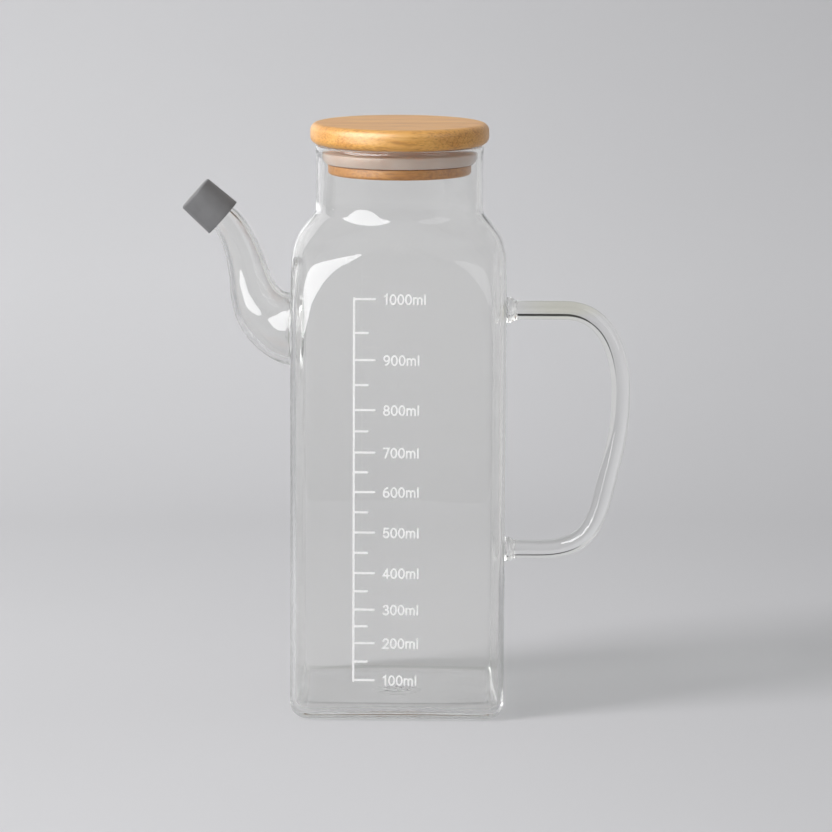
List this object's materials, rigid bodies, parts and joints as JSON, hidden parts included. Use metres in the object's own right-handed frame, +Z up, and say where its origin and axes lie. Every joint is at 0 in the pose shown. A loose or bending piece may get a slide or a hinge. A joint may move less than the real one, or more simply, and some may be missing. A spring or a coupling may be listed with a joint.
{
  "type": "oil and vinegar bottle",
  "caption": "Square clear-glass oil bottle with a curved pouring spout, a silicone spout cap, a glass loop handle, a volume scale and a bamboo lid on a silicone seal.",
  "frame": {"origin": "middle of the base, on the plane that the bottle stands on", "axes": "+Z up along the neck, +X towards the handle and -X towards the spout, -Y out of the face with the scale"},
  "size_m": [0.1774, 0.084, 0.2317],
  "materials": {
    "clear_glass": "polished, clear, fire-polished rim",
    "bamboo": "fine sanded, satin oil",
    "clear_silicone": "translucent, satin",
    "grey_silicone": "matt",
    "scale_print": "fired white enamel print"
  },
  "bodies": {
    "root": {"glass_bottle": "clear_glass", "bamboo_lid": "bamboo", "silicone_seal": "clear_silicone", "spout_cap": "grey_silicone"}
  },
  "joints": []
}
